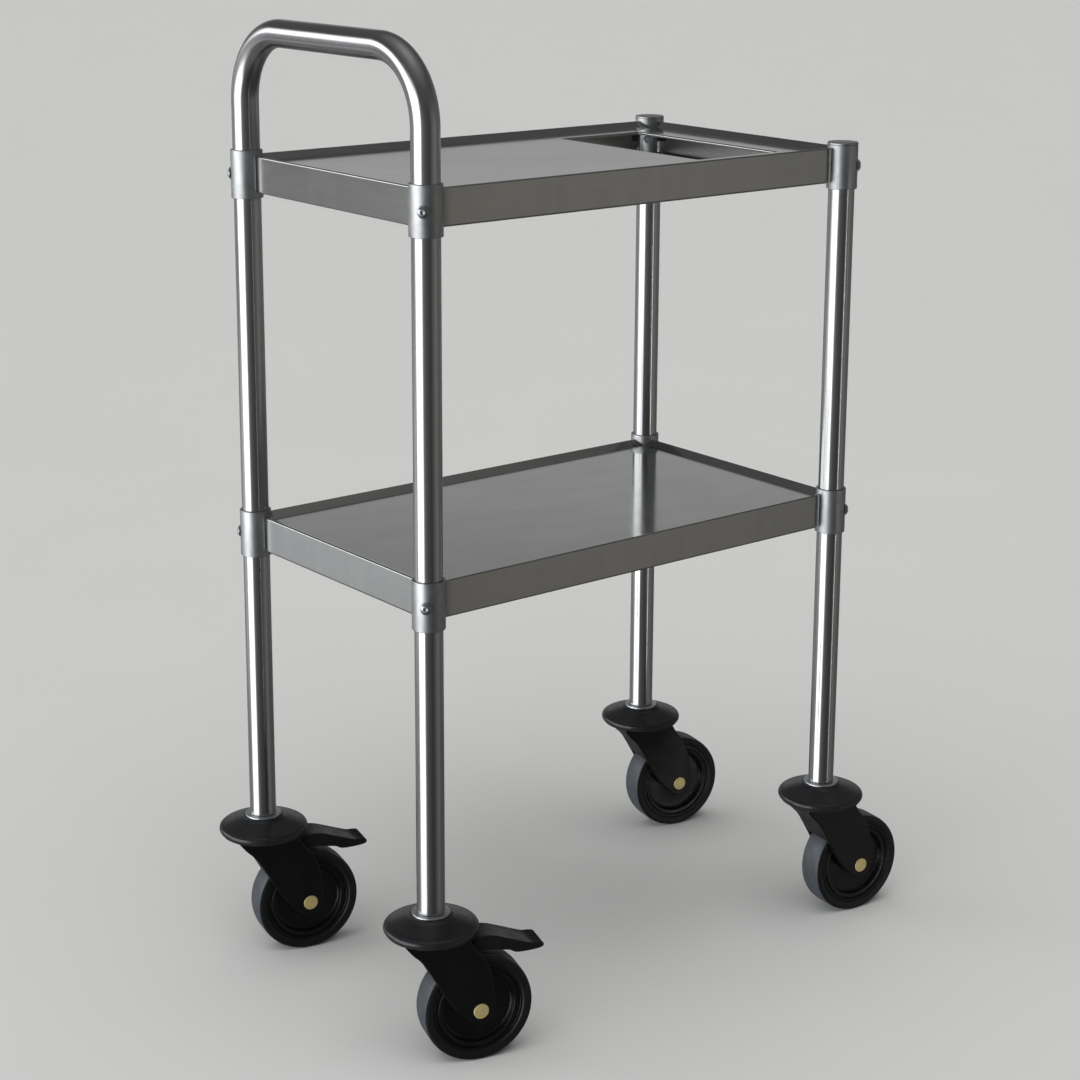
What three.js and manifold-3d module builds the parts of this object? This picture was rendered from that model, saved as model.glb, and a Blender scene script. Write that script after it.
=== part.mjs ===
// Two-shelf instrument cart: bent-tube handle frame, folded sheet shelves held by bolted corner collars,
// and four swivel casters, the rear two with foot brakes. Millimetres, +Z up, +X towards the front,
// origin on the floor under the middle of the whole cart.
import * as THREE from 'three';
import { mergeVertices } from 'three/addons/utils/BufferGeometryUtils.js';
import Module from 'manifold-3d';

const wasm = await Module();
wasm.setup();

// ---------- driving dimensions ----------
const LEG_SPACING_X = 485;
const LEG_SPACING_Y = 278;
const FRAME_SETBACK = 24;            // the casters trail forwards, so the legs stand back of the origin
const GAP = 0.3;                     // between neighbouring pieces

const TUBE_RADIUS = 12.5;
const TUBE_WALL = 1.5;
const TUBE_BOTTOM = 146.3;
const HANDLE_BAR_Z = 898;            // centre of the handle's bar
const HANDLE_BEND = 63;              // centreline radius of the two bends
const BEND_STEPS = 7;
const TUBE_SIDES = 20;

const COLLAR_RADIUS = 14.6;
const COLLAR_HEIGHT = 44;
const COLLAR_BOTTOMS = { upper: 746.5, lower: 408 };
const CAP_THICKNESS = 2;
const CAP_PLUG_DEPTH = 12;

const TRAY_OVERHANG = 1;             // skirt's outer face beyond the leg axes
const TRAY_TOP_DROP = 4.7;           // tray's top edge below the collar's top
const SKIRT_HEIGHT = 33.5;
const SHEET = 1.5;
const BORDER_WIDTH = 13;             // sloped border between top edge and floor
const FLOOR_DROP = 5.2;
const RETURN_FLANGE = 10;            // flange turned in at the skirt's bottom
const NOTCH_RADIUS = COLLAR_RADIUS + 1.5 * GAP;
const CUTOUT = { minX: 94, maxX: 194, halfY: 100, hem: 7 };   // its edge is folded under once

const BOLT_SHANK = 2.8;
const BOLT_HOLE = 3.25;
const BOLT_HEAD = 4.7;
const BOLT_FLANGE = 5.5;
const BOLT_HEAD_HEIGHT = 2.6;
const NUT_RADIUS = 5.2;
const NUT_HEIGHT = 4.6;
const BOLT_SIDES = 8;

const STEM_RADIUS = 5;
const STEM_BOTTOM = 101;
const STEM_TOP = 181;
const SOCKET_HEIGHT = 40;
const WASHER_RADIUS = 17.25;
const WASHER_BOTTOM = 144.2;
const WASHER_THICKNESS = 1.8;

const TRAIL = 40;                    // wheel axle behind the swivel axis
const WHEEL_RADIUS = 51;
const TREAD_HALF = 14;
const TYRE_INNER = 42.2;
const HUB_RADIUS = 41.6;
const AXLE_RADIUS = 4;
const AXLE_HEAD = 7.1;
const FORK_HALF = 19.5;
const FORK_SLOT_HALF = 15;
const WHEEL_CLEARANCE = 54;          // radius of the wheel arch inside the fork
const FORK_TOP = 126;
const BUMPER_RADIUS = 42.5;

const PEDAL_HALF = 14.5;
const PEDAL_HINGE = { x: 30, z: 109.5 };
const PEDAL_BARREL = 4;
const PEDAL_PIN = 2;

// Each corner's signs along X and Y, and the angle its caster is turned to.
const CORNERS = {
  rear_left: { sx: -1, sy: 1, yaw: -13.9, braked: true },
  rear_right: { sx: -1, sy: -1, yaw: -18, braked: true },
  front_right: { sx: 1, sy: -1, yaw: -7.6, braked: false },
  front_left: { sx: 1, sy: 1, yaw: -12, braked: false },
};

// ---------- materials ----------
const steel = (color, roughness) => new THREE.MeshStandardMaterial({ color, roughness, metalness: 1 });
const moulded = (color, roughness) => new THREE.MeshStandardMaterial({ color, roughness, metalness: 0 });
const polishedSteel = steel(0xc9cacd, 0.22);
const satinSteel = steel(0xa9acae, 0.4);
const sheetSteel = steel(0x9a9c9c, 0.32);
const zinc = steel(0xb4bcc4, 0.35);
const brass = steel(0xbea564, 0.4);
const blackPlastic = moulded(0x161719, 0.45);
const greyPlastic = moulded(0x55585a, 0.6);
const rubber = moulded(0x2a2e36, 0.7);

// ---------- solids ----------
// A closed three.js geometry as a solid, with its shared vertices merged.
function solid(geometry) {
  const bare = geometry.clone();
  bare.deleteAttribute('normal');
  bare.deleteAttribute('uv');
  const merged = mergeVertices(bare, 1e-4);
  const vertProperties = new Float32Array(merged.attributes.position.array);
  const triVerts = new Uint32Array(merged.index.array);
  return new wasm.Manifold(new wasm.Mesh({ numProp: 3, vertProperties, triVerts }));
}

// A solid back as a three.js geometry.
function geometryOf(body) {
  const mesh = body.getMesh();
  const geometry = new THREE.BufferGeometry();
  geometry.setAttribute('position', new THREE.BufferAttribute(new Float32Array(mesh.vertProperties), 3));
  geometry.setIndex(new THREE.BufferAttribute(new Uint32Array(mesh.triVerts), 1));
  geometry.computeVertexNormals();
  return geometry;
}

function box(minX, maxX, minY, maxY, minZ, maxZ) {
  const geometry = new THREE.BoxGeometry(maxX - minX, maxY - minY, maxZ - minZ);
  return geometry.translate((minX + maxX) / 2, (minY + maxY) / 2, (minZ + maxZ) / 2);
}

// A rectangular frustum centred on the Z axis, from one half size at its top to another at its bottom.
function frustum(topHalf, bottomHalf, topZ, bottomZ) {
  const geometry = box(-1, 1, -1, 1, bottomZ, topZ);
  const position = geometry.attributes.position;
  for (let i = 0; i < position.count; i += 1) {
    const half = position.getZ(i) > (topZ + bottomZ) / 2 ? topHalf : bottomHalf;
    position.setX(i, position.getX(i) * half.x);
    position.setY(i, position.getY(i) * half.y);
  }
  return geometry;
}

// A profile of [radius, height] points turned about the Z axis.
function turned(profile, sides) {
  const points = profile.map(([radius, height]) => new THREE.Vector2(radius, height));
  return new THREE.LatheGeometry(points, sides).rotateX(Math.PI / 2);
}

// A ring of rectangular section about the Z axis.
function ring(inner, outer, minZ, maxZ, sides) {
  return turned([[inner, minZ], [outer, minZ], [outer, maxZ], [inner, maxZ], [inner, minZ]], sides);
}

// A round bar along the Z axis.
function rod(radius, minZ, maxZ, sides) {
  const geometry = new THREE.CylinderGeometry(radius, radius, maxZ - minZ, sides);
  return geometry.rotateX(Math.PI / 2).translate(0, 0, (minZ + maxZ) / 2);
}

// A round bar along the Y axis through [x, z].
function crossRod(radius, x, z, half, sides) {
  return new THREE.CylinderGeometry(radius, radius, 2 * half, sides).translate(x, 0, z);
}

// An outline of [x, z] points made half as thick each way along Y.
function slab(points, half) {
  const shape = new THREE.Shape(points.map(([x, z]) => new THREE.Vector2(x, z)));
  const geometry = new THREE.ExtrudeGeometry(shape, { depth: 2 * half, bevelEnabled: false });
  return geometry.rotateX(Math.PI / 2).translate(0, half, 0);
}

// Points on an arc in the x-z plane, angles in degrees.
function arc(x, z, radius, from, to, steps) {
  const points = [];
  for (let i = 0; i <= steps; i += 1) {
    const angle = THREE.MathUtils.degToRad(from + ((to - from) * i) / steps);
    points.push([x + radius * Math.cos(angle), z + radius * Math.sin(angle)]);
  }
  return points;
}

// ---------- handle and legs ----------
// Centreline of the handle: up the left leg, over the bar and down the right leg, with stations only
// where the tube bends.
class HandleLine extends THREE.Curve {
  constructor() {
    super();
    const half = LEG_SPACING_Y / 2;
    const bendZ = HANDLE_BAR_Z - HANDLE_BEND;
    this.stations = [[half, TUBE_BOTTOM, 90]];
    for (const side of [1, -1]) {
      const from = side > 0 ? 0 : 90;
      for (let i = 0; i <= BEND_STEPS; i += 1) {
        const degrees = from + (90 * i) / BEND_STEPS;
        const angle = THREE.MathUtils.degToRad(degrees);
        const y = side * (half - HANDLE_BEND) + HANDLE_BEND * Math.cos(angle);
        this.stations.push([y, bendZ + HANDLE_BEND * Math.sin(angle), degrees + 90]);
      }
    }
    this.stations.push([-half, TUBE_BOTTOM, 270]);
    this.steps = this.stations.length - 1;
  }

  station(u) {
    return this.stations[Math.round(u * this.steps)];
  }

  getPoint(u) {
    const [y, z] = this.station(u);
    return new THREE.Vector3(0, y, z);
  }

  getPointAt(u) {
    return this.getPoint(u);
  }

  getTangentAt(u) {
    const angle = THREE.MathUtils.degToRad(this.station(u)[2]);
    return new THREE.Vector3(0, Math.cos(angle), Math.sin(angle));
  }
}

// The bolt hole through both walls of a leg or collar at the origin, for the corner's outward diagonal.
function boltHole(sx, sy, z) {
  const hole = new THREE.CylinderGeometry(BOLT_HOLE, BOLT_HOLE, 4 * COLLAR_RADIUS, BOLT_SIDES);
  return solid(hole.rotateZ(Math.PI / 2).rotateZ(Math.atan2(sy, sx)).translate(0, 0, z));
}

const boltHeights = Object.values(COLLAR_BOTTOMS).map((bottom) => bottom + COLLAR_HEIGHT / 2);

function handleTube() {
  const line = new HandleLine();
  const section = new THREE.Shape().absarc(0, 0, TUBE_RADIUS, 0, 2 * Math.PI);
  section.holes.push(new THREE.Path().absarc(0, 0, TUBE_RADIUS - TUBE_WALL, 0, 2 * Math.PI, true));
  const settings = { extrudePath: line, steps: line.steps, curveSegments: TUBE_SIDES / 2 };
  let tube = solid(new THREE.ExtrudeGeometry(section, settings));
  for (const sy of [1, -1]) {
    for (const z of boltHeights) {
      tube = tube.subtract(boltHole(-1, sy, z).translate(0, (sy * LEG_SPACING_Y) / 2, 0));
    }
  }
  return geometryOf(tube);
}

function legTube(sx, sy) {
  const top = COLLAR_BOTTOMS.upper + COLLAR_HEIGHT - CAP_THICKNESS - GAP;
  let tube = solid(ring(TUBE_RADIUS - TUBE_WALL, TUBE_RADIUS, TUBE_BOTTOM, top, TUBE_SIDES));
  for (const z of boltHeights) tube = tube.subtract(boltHole(sx, sy, z));
  return geometryOf(tube);
}

function collar(sx, sy, height) {
  const body = solid(ring(TUBE_RADIUS + GAP, COLLAR_RADIUS, 0, height, TUBE_SIDES));
  return geometryOf(body.subtract(boltHole(sx, sy, COLLAR_HEIGHT / 2)));
}

// Button-head bolt along X with its nut on the inner end, all round and centred on the leg's axis.
function bolt() {
  const seat = COLLAR_RADIUS + GAP;
  const nutEnd = -(seat + NUT_HEIGHT);
  const profile = [
    [0, nutEnd - 1], [BOLT_SHANK, nutEnd - 1], [BOLT_SHANK, nutEnd],
    [NUT_RADIUS, nutEnd], [NUT_RADIUS, -seat], [BOLT_SHANK, -seat],
    [BOLT_SHANK, seat], [BOLT_FLANGE, seat], [BOLT_FLANGE, seat + 0.8],
    [BOLT_HEAD, seat + 0.8], [BOLT_HEAD * 0.7, seat + BOLT_HEAD_HEIGHT - 0.4], [0, seat + BOLT_HEAD_HEIGHT],
  ];
  return turned(profile, BOLT_SIDES).rotateY(Math.PI / 2);
}

// Flat cap with a plug that goes into the front leg's top; its upper face is at zero.
function cap() {
  const plug = TUBE_RADIUS - TUBE_WALL - GAP;
  const profile = [
    [0, -CAP_PLUG_DEPTH], [plug, -CAP_PLUG_DEPTH], [plug, -CAP_THICKNESS],
    [COLLAR_RADIUS, -CAP_THICKNESS], [COLLAR_RADIUS, -0.5], [COLLAR_RADIUS - 0.6, 0], [0, 0],
  ];
  return turned(profile, TUBE_SIDES);
}

// ---------- shelves ----------
const trayHalf = {
  x: LEG_SPACING_X / 2 + TRAY_OVERHANG,
  y: LEG_SPACING_Y / 2 + TRAY_OVERHANG,
};

function inset(distance) {
  return { x: trayHalf.x - distance, y: trayHalf.y - distance };
}

function block(half, minZ, maxZ) {
  return solid(box(-half.x, half.x, -half.y, half.y, minZ, maxZ));
}

// Folded tray with its top edge at zero: skirt, sloped border, floor and a flange turned in at the bottom.
function tray(hasCutout) {
  const over = 5;
  const slopeRun = BORDER_WIDTH - SHEET;
  const rise = (FLOOR_DROP * over) / BORDER_WIDTH;
  const pocket = solid(frustum(inset(SHEET - (slopeRun * rise) / FLOOR_DROP), inset(BORDER_WIDTH), rise, -FLOOR_DROP));
  const panUnder = solid(frustum(inset(SHEET), inset(BORDER_WIDTH), -SHEET, -FLOOR_DROP - SHEET));
  const skirtSpace = block(inset(SHEET), SHEET - SKIRT_HEIGHT, -SHEET).subtract(panUnder);
  const flangeOpening = block(inset(SHEET + RETURN_FLANGE), -SKIRT_HEIGHT - 1, SHEET - SKIRT_HEIGHT + 1);
  let body = block(inset(0), -SKIRT_HEIGHT, 0).subtract(pocket).subtract(skirtSpace).subtract(flangeOpening);
  if (hasCutout) {
    const { minX, maxX, halfY, hem } = CUTOUT;
    const hemBottom = -FLOOR_DROP - 2 * SHEET;
    const hemTop = -FLOOR_DROP - SHEET / 2;
    const folded = box(minX - hem, maxX + hem, -halfY - hem, halfY + hem, hemBottom, hemTop);
    body = body.add(solid(folded)).subtract(solid(box(minX, maxX, -halfY, halfY, hemBottom - 1, 1)));
  }
  for (const { sx, sy } of Object.values(CORNERS)) {
    const notch = rod(NOTCH_RADIUS, -SKIRT_HEIGHT - 2, 2, TUBE_SIDES);
    body = body.subtract(solid(notch.translate((sx * LEG_SPACING_X) / 2, (sy * LEG_SPACING_Y) / 2, 0)));
  }
  return geometryOf(body);
}

// ---------- casters ----------
// Every caster piece is drawn with the swivel axis on Z, the floor at zero and the wheel towards +X.
function bumper() {
  const bore = STEM_RADIUS + GAP;
  const bottom = FORK_TOP + GAP;
  const profile = [
    [bore, bottom], [38.5, bottom], [BUMPER_RADIUS, 130], [BUMPER_RADIUS - 0.7, 133.4],
    [36, 137.2], [26, 141], [WASHER_RADIUS + 0.5, 143.4], [bore, WASHER_BOTTOM - GAP], [bore, bottom],
  ];
  return turned(profile, 20);
}

function fork(braked) {
  const foot = arc(TRAIL, WHEEL_RADIUS, 14, 212, 360, 7);
  const outline = [
    [28, FORK_TOP], [-27, FORK_TOP], [-27, 120], [-13.5, 105], [-2, 85.6], [8, 67.5], [19, 52], ...foot,
    [53.5, 67], [51.8, 78], [49.6, 89], [45, 99.2], [36, 111.3], [28, 119],
  ];
  const arch = crossRod(WHEEL_CLEARANCE, TRAIL, WHEEL_RADIUS, FORK_SLOT_HALF, 24);
  const axleHole = crossRod(AXLE_RADIUS + GAP, TRAIL, WHEEL_RADIUS, 2 * FORK_HALF, 12);
  let body = solid(slab(outline, FORK_HALF)).add(solid(rod(24, 117, FORK_TOP, 20)));
  body = body.subtract(solid(arch)).subtract(solid(axleHole));
  body = body.subtract(solid(rod(STEM_RADIUS + GAP, STEM_BOTTOM - 1, FORK_TOP + 1, 12)));
  if (braked) {
    const { x, z } = PEDAL_HINGE;
    const barrelSpace = crossRod(PEDAL_BARREL + 1.2, x, z, FORK_SLOT_HALF, 16);
    const armSpace = box(x, 70, -FORK_SLOT_HALF, FORK_SLOT_HALF, 96, FORK_TOP - 4);
    body = body.subtract(solid(barrelSpace)).subtract(solid(armSpace));
    body = body.subtract(solid(crossRod(PEDAL_PIN + GAP, x, z, 2 * FORK_HALF, 10)));
  }
  return geometryOf(body);
}

// A wheel's closed profile from its upper half, which runs from the bore outwards.
function twoSided(half) {
  const lower = half.map(([radius, height]) => [radius, -height]);
  return [...lower, ...[...half].reverse(), lower[0]];
}

// Turned about the wheel's own axis, which is then laid along Y.
function hub() {
  const half = [[AXLE_RADIUS + GAP, 14.2], [10, 14.2], [12, 6], [33, 6], [35, 11.5], [HUB_RADIUS, 11.5]];
  return turned(twoSided(half), 16).rotateX(Math.PI / 2);
}

// The tyre has a flat side down, so its lowest face is on the floor.
function tyre() {
  const sides = 28;
  const outer = WHEEL_RADIUS / Math.cos(Math.PI / sides);
  const half = [[TYRE_INNER, 12.4], [47.5, TREAD_HALF], [outer, 12]];
  return turned(twoSided(half), sides).rotateX(Math.PI / 2).rotateY(Math.PI / sides);
}

function axle() {
  const inner = FORK_HALF + GAP;
  const outer = inner + 1;
  const profile = [
    [0, -outer], [AXLE_HEAD, -outer], [AXLE_HEAD, -inner], [AXLE_RADIUS, -inner],
    [AXLE_RADIUS, inner], [AXLE_HEAD, inner], [AXLE_HEAD, outer], [0, outer],
  ];
  return turned(profile, 12).rotateX(Math.PI / 2);
}

// Foot pedal, drawn about its hinge pin: barrel, dished plate and thick toe.
function pedal() {
  const { x, z } = PEDAL_HINGE;
  const outline = [
    [30, 113.3], [38, 118], [48, 120.2], [57, 118.4], [72.7, 112.4], [89, 106.4], [97, 105], [101.5, 102.5],
    [100, 100.6], [93, 99.4], [84, 99], [74, 99.5], [71, 101.8], [66, 103], [56, 105], [48, 106.5], [30, 105.7],
  ];
  const plate = solid(slab(outline.map(([px, pz]) => [px - x, pz - z]), PEDAL_HALF));
  const barrel = solid(crossRod(PEDAL_BARREL, 0, 0, PEDAL_HALF, 16));
  const pinHole = solid(crossRod(PEDAL_PIN + GAP, 0, 0, 2 * PEDAL_HALF, 10));
  return geometryOf(plate.add(barrel).subtract(pinHole));
}

// ---------- assembly ----------
function piece(name, geometry, material, parent, x = 0, y = 0, z = 0) {
  const mesh = new THREE.Mesh(geometry, material);
  mesh.name = name;
  mesh.position.set(x, y, z);
  parent.add(mesh);
  return mesh;
}

function addShelfFittings(corner, sx, sy, leg) {
  for (const [level, bottom] of Object.entries(COLLAR_BOTTOMS)) {
    const capped = level === 'upper' && sx > 0;
    const height = capped ? COLLAR_HEIGHT - CAP_THICKNESS - GAP : COLLAR_HEIGHT;
    piece(`collar_${level}_${corner}`, collar(sx, sy, height), satinSteel, leg, 0, 0, bottom);
    const screw = piece(`bolt_${level}_${corner}`, bolt(), polishedSteel, leg, 0, 0, bottom + COLLAR_HEIGHT / 2);
    screw.rotation.z = Math.atan2(sy, sx);
    if (capped) piece(`cap_${corner}`, cap(), satinSteel, leg, 0, 0, bottom + COLLAR_HEIGHT);
  }
}

function addCaster(corner, yaw, braked, leg) {
  const socketInner = STEM_RADIUS + GAP;
  const socketOuter = TUBE_RADIUS - TUBE_WALL - GAP;
  const socketBottom = TUBE_BOTTOM + GAP;
  const socket = ring(socketInner, socketOuter, socketBottom, socketBottom + SOCKET_HEIGHT, 16);
  const washer = ring(socketInner, WASHER_RADIUS, WASHER_BOTTOM, WASHER_BOTTOM + WASHER_THICKNESS, TUBE_SIDES);
  piece(`stem_socket_${corner}`, socket, greyPlastic, leg);
  piece(`stem_${corner}`, rod(STEM_RADIUS, STEM_BOTTOM, STEM_TOP, 12), zinc, leg);
  piece(`washer_${corner}`, washer, zinc, leg);

  const caster = new THREE.Group();
  caster.rotation.z = THREE.MathUtils.degToRad(yaw);
  leg.add(caster);
  piece(`bumper_${corner}`, bumper(), blackPlastic, caster);
  piece(`fork_${corner}`, fork(braked), blackPlastic, caster);
  piece(`axle_${corner}`, axle(), brass, caster, TRAIL, 0, WHEEL_RADIUS);
  piece(`hub_${corner}`, hub(), blackPlastic, caster, TRAIL, 0, WHEEL_RADIUS);
  piece(`tyre_${corner}`, tyre(), rubber, caster, TRAIL, 0, WHEEL_RADIUS);
  if (braked) {
    const { x, z } = PEDAL_HINGE;
    piece(`pedal_${corner}`, pedal(), blackPlastic, caster, x, 0, z);
    piece(`pedal_pin_${corner}`, crossRod(PEDAL_PIN, 0, 0, FORK_HALF, 10), zinc, caster, x, 0, z);
  }
}

const cart = new THREE.Group();
cart.position.x = -FRAME_SETBACK;
piece('handle_tube', handleTube(), polishedSteel, cart, -LEG_SPACING_X / 2);
for (const [level, bottom] of Object.entries(COLLAR_BOTTOMS)) {
  piece(`${level}_shelf`, tray(level === 'upper'), sheetSteel, cart, 0, 0, bottom + COLLAR_HEIGHT - TRAY_TOP_DROP);
}
for (const [corner, { sx, sy, yaw, braked }] of Object.entries(CORNERS)) {
  const leg = new THREE.Group();
  leg.position.set((sx * LEG_SPACING_X) / 2, (sy * LEG_SPACING_Y) / 2, 0);
  cart.add(leg);
  if (sx > 0) piece(`leg_tube_${corner}`, legTube(sx, sy), polishedSteel, leg);
  addShelfFittings(corner, sx, sy, leg);
  addCaster(corner, yaw, braked, leg);
}

export default cart;
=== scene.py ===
import math

import bmesh
import bpy
from mathutils import Matrix, Vector


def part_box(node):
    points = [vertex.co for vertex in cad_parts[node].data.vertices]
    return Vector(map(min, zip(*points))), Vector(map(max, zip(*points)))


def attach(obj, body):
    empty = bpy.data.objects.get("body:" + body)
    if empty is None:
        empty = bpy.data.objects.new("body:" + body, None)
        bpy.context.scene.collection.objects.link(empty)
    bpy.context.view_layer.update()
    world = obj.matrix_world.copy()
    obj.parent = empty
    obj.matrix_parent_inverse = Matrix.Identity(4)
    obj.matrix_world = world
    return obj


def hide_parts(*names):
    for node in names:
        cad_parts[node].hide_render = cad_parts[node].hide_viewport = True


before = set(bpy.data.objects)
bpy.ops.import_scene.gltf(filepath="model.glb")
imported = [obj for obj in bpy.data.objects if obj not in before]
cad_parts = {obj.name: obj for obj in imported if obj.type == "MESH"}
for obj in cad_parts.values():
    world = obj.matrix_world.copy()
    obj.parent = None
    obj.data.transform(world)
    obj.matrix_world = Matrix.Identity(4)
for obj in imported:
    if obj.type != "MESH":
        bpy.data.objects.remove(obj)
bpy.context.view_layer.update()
scene = bpy.context.scene
scene.view_settings.view_transform = "Standard"

# Shapes are drawn in millimetres and made into metres as each piece is finished.
MM = 0.001
WELD = 0.002
ON_AXIS = 0.0001  # the radius of a ring that closes a turned shape on its axis, before it is welded
FILLET_STEP_DEGREES = 12
CORNERS = ("rear_left", "rear_right", "front_right", "front_left")
LEVELS = ("upper", "lower")

# ---------- sizes, in millimetres ----------
TUBE_RADIUS = 12.5
TUBE_WALL = 1.5
TUBE_SIDES = 64
HANDLE_BEND = 63
BEND_STEPS = 28

COLLAR_RADIUS = 14.6
COLLAR_BORE = 12.75
COLLAR_EDGE = 0.55
COLLAR_BORE_EDGE = 0.2
CAPPED_EDGE = 0.12
CAP_THICKNESS = 2
CAP_PLUG = 10.7

SHEET = 1.5
TRAY_OVERHANG = 1
SKIRT_HEIGHT = 33.5
BORDER_WIDTH = 13
FLOOR_DROP = 5.2
FLOOR_BEND = 1.2
FLOOR_EDGE = 6
RIM_PEAK = 0.823  # where the lines of slope and skirt meet: rounded off, the rim's top is at zero
RIM_ROUNDING = 1.5
SKIRT_FOLD = 2.2
RETURN_FLANGE = 10
CORNER_GAP = 0.3
NOTCH_ABOVE = 9
SKIRT_CORNER = 24
SKIRT_CORNER_MARGIN = 4
STEEP = 0.5  # faces whose normals rise less than this have the skirt's finish
CORNER_STEPS = 12
TRAY_SHARP_DEGREES = 25
CUTOUT = {"min_x": 94, "max_x": 194, "half_y": 100, "corner": 1.5, "hem": 7}
HEM_MARGIN = 3

BOLT_HEAD = 4.7
BOLT_FLANGE = 5.5
BOLT_HEAD_HEIGHT = 2.6
SOCKET_FLATS = 2.8
SOCKET_DEPTH = 0.8
BOLT_GAP = 0.15
BOLT_SIDES = 48
NUT_RADIUS = 5.2
NUT_HEIGHT = 4.3
NUT_CHAMFER = 0.55

STEM_HOLE = 5.4
WASHER_RADIUS = 17.25
WHEEL_RADIUS = 51
TREAD_HALF = 14
TREAD_FROM = 0.985  # the share of the wheel's radius where the tread starts
TYRE_INNER = 42.2
TYRE_SIDES = 128
HUB_RADIUS = 41.8
HUB_SIDES = 96
AXLE_RADIUS = 4.2
RIVET_RADIUS = 7.1
RIVET_GAP = 0.05
RIVET_SIDES = 48
FORK_HALF = 19.5
FORK_SLOT_HALF = 15
WHEEL_ARCH = 54
WHEEL_ARCH_SIDES = 96
FORK_EDGE = 1.6
FORK_FOOT = 14
FORK_SHARP_DEGREES = 38
BUMPER_RADIUS = 42.5
BUMPER_LIP = 4.2
BUMPER_SIDES = 96
PEDAL_HALF = 14.5
PEDAL_EDGE = 1.3
PEDAL_DISH = 0.7
PEDAL_TEETH = 6
TOOTH_DEPTH = 2.1
TOOTH_STATIONS = 8
PEDAL_HINGE = (30, 109.5)
PEDAL_BARREL = 4.3
PEDAL_BARREL_SIDES = 48
PIN_RADIUS = 1.9
PIN_INSET = 0.6
PIN_SIDES = 24

# Signs of x and y in each quarter, and the angle at which its round corner starts.
QUARTERS = ((1, 1, 0), (-1, 1, 90), (-1, -1, 180), (1, -1, 270))


# ---------- points ----------
def arc(x, y, radius, start, end, steps):
    """Points on an arc, angles in degrees."""
    angles = [math.radians(start + (end - start) * i / steps) for i in range(steps + 1)]
    return [(x + radius * math.cos(a), y + radius * math.sin(a)) for a in angles]


def full_circle(x, y, radius, sides):
    """The points of a closed outline round a centre."""
    return arc(x, y, radius, 0, 360 - 360 / sides, sides - 1)


def filleted(points, closed=False):
    """Rounds the corners of an outline. A point is (x, y) or (x, y, radius)."""
    made = []
    count = len(points)
    for i, point in enumerate(points):
        radius = point[2] if len(point) > 2 else 0
        if radius == 0 or (not closed and i in (0, count - 1)):
            made.append(Vector(point[:2]))
            continue
        here = Vector(point[:2])
        back = (Vector(points[i - 1][:2]) - here).normalized()
        on = (Vector(points[(i + 1) % count][:2]) - here).normalized()
        half = back.angle(on) / 2
        reach = radius / math.tan(half)
        centre = here + (back + on).normalized() * (radius / math.sin(half))
        start, end = here + back * reach - centre, here + on * reach - centre
        swing = start.angle_signed(end)
        steps = max(2, math.ceil(math.degrees(abs(swing)) / FILLET_STEP_DEGREES))
        for k in range(steps + 1):
            turn = Matrix.Rotation(-swing * k / steps, 2)
            made.append(centre + turn @ start)
    return [(p.x, p.y) for p in made]


def smooth_line(points, steps):
    """A Catmull-Rom curve through the points, with the ends kept."""
    ends = [points[0], *points, points[-1]]
    made = []
    for a, b, c, d in zip(ends, ends[1:], ends[2:], ends[3:]):
        for k in range(steps):
            t = k / steps
            made.append(tuple(
                0.5 * (2 * q + (r - p) * t
                       + (2 * p - 5 * q + 4 * r - s) * t**2
                       + (3 * q - p - 3 * r + s) * t**3)
                for p, q, r, s in zip(a, b, c, d)
            ))
    return [*made, tuple(points[-1])]


def grown(outline, distance):
    """A closed counter-clockwise outline moved outwards by a distance, or inwards by a negative one."""
    made = []
    count = len(outline)
    for i, point in enumerate(outline):
        before, after = Vector(outline[i - 1]), Vector(outline[(i + 1) % count])
        along = after - before
        out = Vector((along.y, -along.x)).normalized()
        made.append((point[0] + out.x * distance, point[1] + out.y * distance))
    return made


# ---------- meshes ----------
def loft(mesh, rings, loop=False, caps=False, around=1.0):
    """Joins rings of points into a skin. Its UV runs along the profile in U and around in V, in metres."""
    uv = mesh.loops.layers.uv.verify()
    rows = [[mesh.verts.new(point) for point in ring] for ring in rings]
    travelled = [0.0]
    for a, b in zip(rings, rings[1:]):
        travelled.append(travelled[-1] + max((Vector(p) - Vector(q)).length for p, q in zip(a, b)) * MM)
    spans = [(i, i + 1) for i in range(len(rows) - 1)]
    if loop:
        spans.append((len(rows) - 1, 0))
    sides = len(rows[0])
    for low, high in spans:
        top = travelled[high] if high > low else travelled[low] + 0.001
        for i in range(sides):
            j = (i + 1) % sides
            face = mesh.faces.new((rows[low][i], rows[low][j], rows[high][j], rows[high][i]))
            corners = ((travelled[low], i), (travelled[low], i + 1), (top, i + 1), (top, i))
            for corner, (u, k) in zip(face.loops, corners):
                corner[uv].uv = (u, around * k / sides)
    if caps:
        for row in (rows[0], rows[-1]):
            face = mesh.faces.new(row)
            for corner in face.loops:
                corner[uv].uv = (corner.vert.co.x * MM, corner.vert.co.y * MM)
    return rows


def circle(radius, z, sides=TUBE_SIDES):
    """A level ring round Z."""
    angles = [2 * math.pi * i / sides for i in range(sides)]
    return [(radius * math.cos(a), radius * math.sin(a), z) for a in angles]


def hexagon(half_flats, z, sides):
    """A level six-sided ring round Z, with as many points as a circle has."""
    ring = []
    for i in range(sides):
        angle = 2 * math.pi * i / sides
        off = (angle + math.pi / 6) % (math.pi / 3) - math.pi / 6
        radius = half_flats / math.cos(off)
        ring.append((radius * math.cos(angle), radius * math.sin(angle), z))
    return ring


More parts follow.
